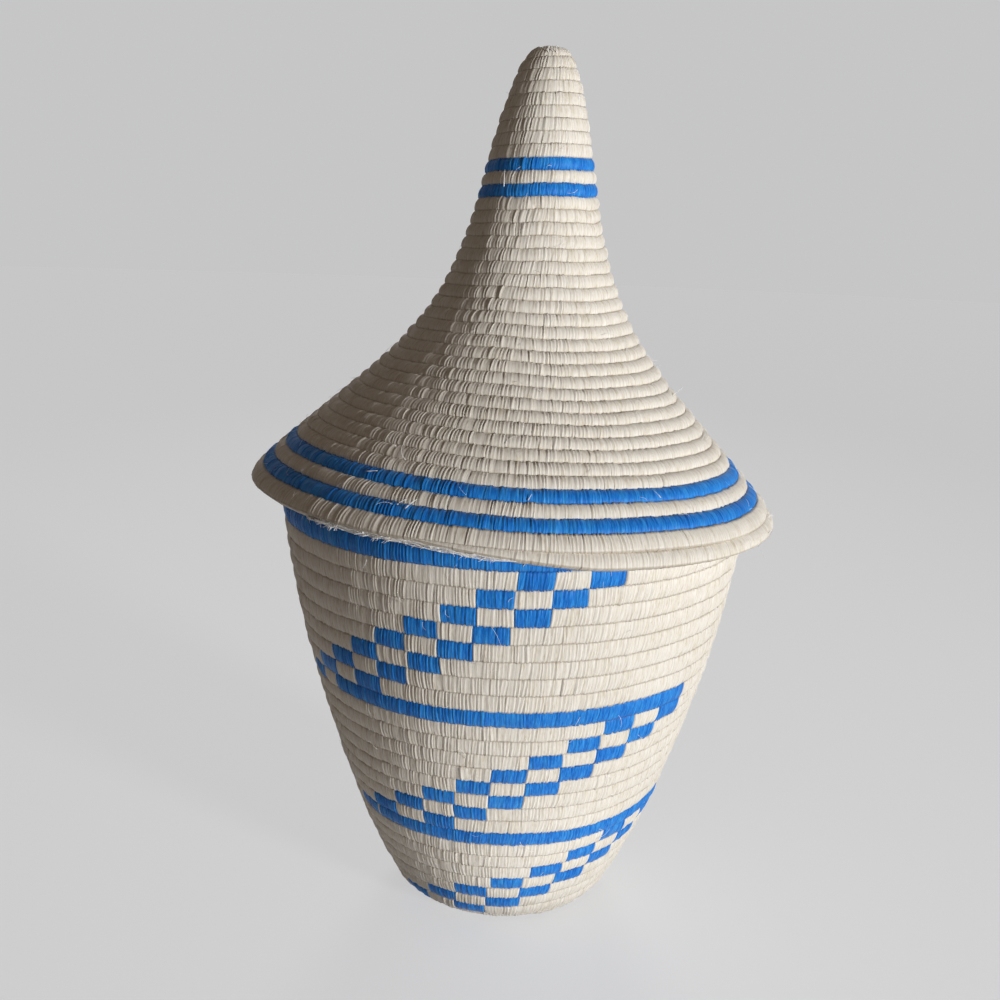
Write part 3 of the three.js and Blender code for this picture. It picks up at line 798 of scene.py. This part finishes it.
frayed = []
rng = np.random.default_rng(FRAY_SEED)
degrees = np.linspace(FRAY_FROM, FRAY_TO, PLY_POINTS)
marks = np.linspace(FRAY_FROM, FRAY_TO, SWAY_MARKS)
for ply in range(PLIES):
    sway = [np.interp(degrees, marks, rng.uniform(-SWAY, SWAY, SWAY_MARKS)) for _ in range(2)]
    turned = degrees / PLY_TWIST + 2 * math.pi * ply / PLIES
    taken_up = 1 - smooth(degrees, FRAY_TO - TAKEN_UP, FRAY_TO)
    outwards = STRAND_OUT + HALF_WIDTH * np.cos(turned) + sway[0]
    down = (STRAND_DOWN + HALF_HEIGHT * np.sin(turned) + sway[1]) * taken_up - HIDDEN
    frayed.append((under_rim(degrees, outwards, down), PLY_THICKNESS))
for _ in range(TUFTS):
    in_tangle = rng.random() < TANGLE_SHARE
    at = TANGLE + rng.normal(0, TANGLE_SPREAD) if in_tangle else rng.uniform(FRAY_FROM, FRAY_TO - 6)
    root = under_rim(np.array([at]), rng.uniform(0.0, 1.0), rng.uniform(0.2, 1.3, 1))[0]
    rightwards, outward = np.append(direction(at), 0), np.append(direction(at - 90), 0)
    end = root + rightwards * rng.uniform(-2.2, 2.2) + outward * rng.uniform(0.3, 1.9)
    end += [0, 0, rng.uniform(-1.6, 0.9)]
    middle = (root + end) / 2 + rng.uniform(-0.5, 0.5, 3)
    frayed.append((fibre_path(root, middle, end), rng.uniform(*TUFT_THICKNESS)))

lid_fibres = loose_fibres("lid_loose_fibres", lid, on_lid, SEEN_ON_LID, lowest=12, extra=frayed)
basket_fibres = loose_fibres("basket_loose_fibres", basket, on_basket, SEEN_ON_BASKET, lowest=34)
for piece, body in ((lid_fibres, "lid"), (basket_fibres, "basket")):
    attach(piece, body)
    print(piece.name, len(piece.data.polygons), "faces")


# %% [markdown]
# Sisal is a leaf fibre, pale, stiff and a little glossy. Twisted loosely into strand, it shows as fine
# parallel lines along each wrap, with tints that change from fibre to fibre. Where two wraps meet, the gap
# is painted dark: painted shade. The pattern follows the strand, so it reads the UV place. A real fibre is a
# fifth of a millimetre wide, too fine to show at this distance, so the lines are drawn a third of a
# millimetre apart, with finer ones among them, and about three long. Each wrap also has a tint of its own, by
# its number, and the painted shade is deeper in some grooves than in others. Between two rows the strand is
# painted darker too, as painted shade in the valley.
# The blue strand is the same fibre from a dye bath, which took it unevenly, so it has lighter streaks. A
# loose fibre is paler than the strand, and its colour is painted nearly white besides: painted light, for the
# light that passes round it and partly through it.

# %% Sisal
LINES_IN_WRAP, LINES_IN_MM = 3.2, 0.3  # fibre lines across a wrap, and how many follow in a mm along it
STREAK_SPREAD, TINT_SPREAD, PATCH_SPREAD = 1.1, 0.2, 0.2  # shares of the ramp: by line, wrap and patch
PATCHES_IN_M = 45.0  # patches of about 2 cm
DARK_AT, MIDDLE_AT, PALE_AT = 0.3, 0.58, 0.95  # places on the ramp
GROOVE_FROM, GROOVE_TO, GROOVE_SHADE = 0.3, 0.52, 0.36  # wraps from a wrap's middle, and the deepest painted shade in a groove between two wraps
SEAM_FROM, SEAM_TO, SEAM_SHADE = 0.2, 1.0, 0.5  # the same for the painted shade between two rows, by the piece's seam attribute
LINE_HEIGHT, LINE_STRENGTH = 0.00012, 0.5  # bump of the fibre lines, m
SPECULAR, SHEEN_ROUGHNESS = 0.22, 0.45


def sisal(name, pale, middle, dark, gap, roughness, sheen):
    """Wrapped sisal strand: tints from wrap to wrap, fibre lines along each, and painted shade in the gaps
    and valleys.
    """
    material = bpy.data.materials.new(name)
    material.use_nodes = True
    tree = material.node_tree
    place = node(tree, "UVMap", {"uv_map": "strand"})
    split = node(tree, "SeparateXYZ", Vector=place.outputs["UV"])

    number = node(tree, "Math", {"operation": "FLOOR"}, i0=split.outputs["X"])
    tint = node(tree, "TexWhiteNoise", {"noise_dimensions": "1D"}, W=number.outputs[0])
    laid = node(tree, "Mapping", Vector=place.outputs["UV"], Scale=(LINES_IN_WRAP, LINES_IN_MM, 1.0))
    fibres = node(tree, "TexNoise", {"noise_dimensions": "2D"}, Vector=laid.outputs["Vector"],
                  Scale=1.0, Detail=3.0, Roughness=0.65)
    body = node(tree, "TexCoord")
    patches = node(tree, "TexNoise", Vector=body.outputs["Object"], Scale=PATCHES_IN_M, Detail=3.0)
    tinted = node(tree, "Math", {"operation": "MULTIPLY_ADD"},
                  i0=tint.outputs["Value"], i1=TINT_SPREAD, i2=-TINT_SPREAD / 2)
    streaked = node(tree, "Math", {"operation": "MULTIPLY_ADD"},
                    i0=fibres.outputs["Fac"], i1=STREAK_SPREAD, i2=tinted.outputs[0])
    patched = node(tree, "Math", {"operation": "MULTIPLY_ADD"},
                   i0=patches.outputs["Fac"], i1=PATCH_SPREAD, i2=streaked.outputs[0])
    ramp = node(tree, "ValToRGB", Fac=patched.outputs[0])
    stops = ramp.color_ramp.elements
    stops[0].position, stops[0].color = DARK_AT, linear(dark)
    stops[1].position, stops[1].color = PALE_AT, linear(pale)
    stops.new(MIDDLE_AT).color = linear(middle)

    across = node(tree, "Math", {"operation": "FRACT"}, i0=split.outputs["X"])
    centred = node(tree, "Math", {"operation": "SUBTRACT"}, i0=across.outputs[0], i1=0.5)
    far = node(tree, "Math", {"operation": "ABSOLUTE"}, i0=centred.outputs[0])
    # Painted shade: the gap between two wraps is darkened towards the gap colour, deeper in some grooves than
    # in others.
    groove = node(tree, "Math", {"operation": "ROUND"}, i0=split.outputs["X"])
    groove_shade_share = node(tree, "TexWhiteNoise", {"noise_dimensions": "1D"}, W=groove.outputs[0])
    deepest_groove_shade = node(tree, "Math", {"operation": "MULTIPLY"}, i0=groove_shade_share.outputs["Value"], i1=GROOVE_SHADE)
    edge = node(tree, "MapRange", {"interpolation_type": "SMOOTHSTEP"}, Value=far.outputs[0],
                From_Min=GROOVE_FROM, From_Max=GROOVE_TO, To_Min=0.0, To_Max=deepest_groove_shade.outputs[0])
    # Painted shade: the valley between two rows is darkened towards the gap colour.
    seam = node(tree, "Attribute", {"attribute_name": "seam"})
    valley_shade = node(tree, "MapRange", {"interpolation_type": "SMOOTHSTEP"}, Value=seam.outputs["Fac"],
                    From_Min=SEAM_FROM, From_Max=SEAM_TO, To_Min=0.0, To_Max=SEAM_SHADE)
    groove_shaded = node(tree, "MixRGB", Fac=edge.outputs[0], Color1=ramp.outputs["Color"], Color2=linear(gap))
    shaded = node(tree, "MixRGB", Fac=valley_shade.outputs[0], Color1=groove_shaded.outputs["Color"], Color2=linear(gap))

    bump = node(tree, "Bump", Height=fibres.outputs["Fac"], Strength=LINE_STRENGTH, Distance=LINE_HEIGHT)
    shader = tree.nodes["Principled BSDF"]
    tree.links.new(shaded.outputs["Color"], shader.inputs["Base Color"])
    tree.links.new(bump.outputs["Normal"], shader.inputs["Normal"])
    for socket, value in (("Roughness", roughness), ("Specular IOR Level", SPECULAR), ("Sheen Weight", sheen),
                          ("Sheen Roughness", SHEEN_ROUGHNESS)):
        shader.inputs[socket].default_value = value
    return material


# The fourth colour of each is the painted shade in the gaps between wraps and the valleys between rows.
natural_sisal = sisal("natural_sisal_strand", "#f5f1ea", "#e9e3d7", "#cec2ab", "#8d7b60",
                      roughness=0.62, sheen=0.12)
blue_sisal = sisal("blue_dyed_sisal_strand", "#3ea4f2", "#1076d4", "#0a54a8", "#0a2e68",
                   roughness=0.5, sheen=0.11)
# The loose fibres are paler than the strand and are painted nearly white besides: painted light, for light
# passing round and through them.
loose_sisal = sisal("loose_sisal_fibres", "#ffffff", "#ffffff", "#faf6ee", "#e6dfd0",
                    roughness=0.5, sheen=0.8)
for material, pieces in ((natural_sisal, dressed["natural_sisal"]), (blue_sisal, dressed["blue_sisal"]),
                         (loose_sisal, [lid_fibres, basket_fibres])):
    for piece in pieces:
        piece.data.materials.append(material)
    print(material.name, "on", len(pieces), "pieces")


# %% [markdown]
# The basket stands on a wide, pale, matt floor, which gets little of so low a lamp as this one. So where it
# is seen, straight, in a reflection or through glass, part of its paint glows: that makes it pale, keeps the
# basket's shadow and throws no light on the basket.

# %% Floor
def background_rays(tree):
    """1 for a ray that shows the background, seen straight, in a reflection or through glass, and else 0."""
    rays = node(tree, "LightPath").outputs
    seen = node(tree, "Math", {"operation": "MAXIMUM"}, i0=rays["Is Camera Ray"], i1=rays["Is Glossy Ray"])
    return node(tree, "Math", {"operation": "MAXIMUM"},
                i0=seen.outputs[0], i1=rays["Is Transmission Ray"]).outputs[0]


FLOOR_RADIUS, FLOOR_SIDES = 6.0, 96  # metres
FLOOR_GLOW = 0.6  # share of the paint that glows where the floor is seen

bm = bmesh.new()
bmesh.ops.create_circle(bm, cap_ends=True, segments=FLOOR_SIDES, radius=FLOOR_RADIUS)
floor_mesh = bpy.data.meshes.new("studio_floor")
bm.to_mesh(floor_mesh)
bm.free()
floor = bpy.data.objects.new("studio_floor", floor_mesh)
scene.collection.objects.link(floor)
paint = bpy.data.materials.new("matt_studio_paint")
paint.use_nodes = True
tree = paint.node_tree
matt = tree.nodes["Principled BSDF"]
matt.inputs["Base Color"].default_value = linear("#e6e6e6")
matt.inputs["Roughness"].default_value = 0.9
glow = node(tree, "Emission", Color=linear("#f1f2f4"), Strength=1.0)
share = node(tree, "Math", {"operation": "MULTIPLY"}, i0=background_rays(tree), i1=FLOOR_GLOW)
both = node(tree, "MixShader", i0=share.outputs[0], i1=matt.outputs["BSDF"], i2=glow.outputs["Emission"])
tree.links.new(both.outputs["Shader"], tree.nodes["Material Output"].inputs["Surface"])
floor_mesh.materials.append(paint)
print("studio floor, m across:", 2 * FLOOR_RADIUS)


# %% [markdown]
# The surroundings give a weak, warm light from all sides, which fills the shaded side of the basket. Where
# they are seen, they are a plain pale grey behind the floor's far edge.

# %% Surroundings
SURROUND_LEVEL = 0.084

world = bpy.data.worlds.new("studio")
world.use_nodes = True
scene.world = world
tree = world.node_tree
surround = tree.nodes["Background"]
surround.inputs["Color"].default_value = linear("#ffe0c4")
surround.inputs["Strength"].default_value = SURROUND_LEVEL
backdrop = node(tree, "Background", Color=linear("#c6c6c7"), Strength=1.0)
either = node(tree, "MixShader", i0=background_rays(tree),
              i1=surround.outputs["Background"], i2=backdrop.outputs["Background"])
tree.links.new(either.outputs["Shader"], tree.nodes["World Output"].inputs["Surface"])
print("light of the surroundings:", SURROUND_LEVEL)


# %% [markdown]
# One soft lamp stands to the right of the camera, about as high as the lid's neck. It rakes across the front,
# so that every wrap there has a lit side and a dark one, and the left side turns away into warm, soft shade.
# It is as strong as makes a colour render about as it is written. A grid of slats keeps it off the floor
# beside it and lets it fade a little towards the foot. A weak, wide light that lies on the floor in front and
# faces up stands for what a bright table throws back on to the lower wall. Another, wide and weak, stands
# behind: it reaches little of what the photograph shows, and keeps the back from going black.

# %% Lamps
LAMP_SIZE, LAMP_DISTANCE, LAMP_LEVEL = 0.28, 1.6, 1.07  # metres, and the light on a surface that faces it
LAMP_AZIMUTH, LAMP_ELEVATION = math.radians(49), math.radians(-0.5)  # to the camera's right, and upwards
FILL_SIZE, FILL_DISTANCE, FILL_LEVEL = 0.8, 2.2, 0.4
LAMP_AIM, FILL_AIM = 0.27, 0.15  # heights on the basket's axis that they face, m
LAMP_GRID, FILL_GRID = math.radians(60), math.radians(40)  # slats before a lamp let light out in this angle
CARD_SIZE, CARD_LEVEL = 0.13, 0.75  # metres, and the brightness of the card's face
CARD_PLACE = Vector((0.02, -0.125, 0.001))


def lamp_power(level, distance, grid):
    """The power, W, at which a lamp behind a grid gives this level at a distance."""
    gathered = math.tan(grid / 2) / (math.tan(grid / 2) - grid / 2)
    return level * (math.pi * distance) ** 2 / gathered


def round_lamp(name, size, power, place, rotation, grid=math.pi):
    """A round, soft lamp whose light leaves it within this angle."""
    data = bpy.data.lights.new(name, "AREA")
    data.shape, data.size, data.spread, data.energy = "DISK", size, grid, power
    lamp = bpy.data.objects.new(name, data)
    lamp.location, lamp.rotation_euler = place, rotation
    scene.collection.objects.link(lamp)
    print(name, "W:", round(power, 2))
    return lamp


towards = Vector((math.sin(LAMP_AZIMUTH) * math.cos(LAMP_ELEVATION),
                  -math.cos(LAMP_AZIMUTH) * math.cos(LAMP_ELEVATION), math.sin(LAMP_ELEVATION)))
round_lamp("key_lamp", LAMP_SIZE, lamp_power(LAMP_LEVEL, LAMP_DISTANCE, LAMP_GRID),
           towards * LAMP_DISTANCE + Vector((0, 0, LAMP_AIM)), towards.to_track_quat("Z", "Y").to_euler(),
           LAMP_GRID)
fill_towards = Vector((0.06, 0.9, 0.36)).normalized()
fill = round_lamp("back_fill", FILL_SIZE, lamp_power(FILL_LEVEL, FILL_DISTANCE, FILL_GRID),
                  fill_towards * FILL_DISTANCE + Vector((0, 0, FILL_AIM)),
                  fill_towards.to_track_quat("Z", "Y").to_euler(), FILL_GRID)
card = round_lamp("table_bounce", CARD_SIZE, CARD_LEVEL * math.pi * math.pi * (CARD_SIZE / 2) ** 2,
                  CARD_PLACE, (math.pi, 0, 0))
fill.visible_camera = card.visible_camera = False


# %% [markdown]
# Last, the Standard view shows every colour as it is written, without a film's curve.

# %% The view
scene.view_settings.view_transform = "Standard"
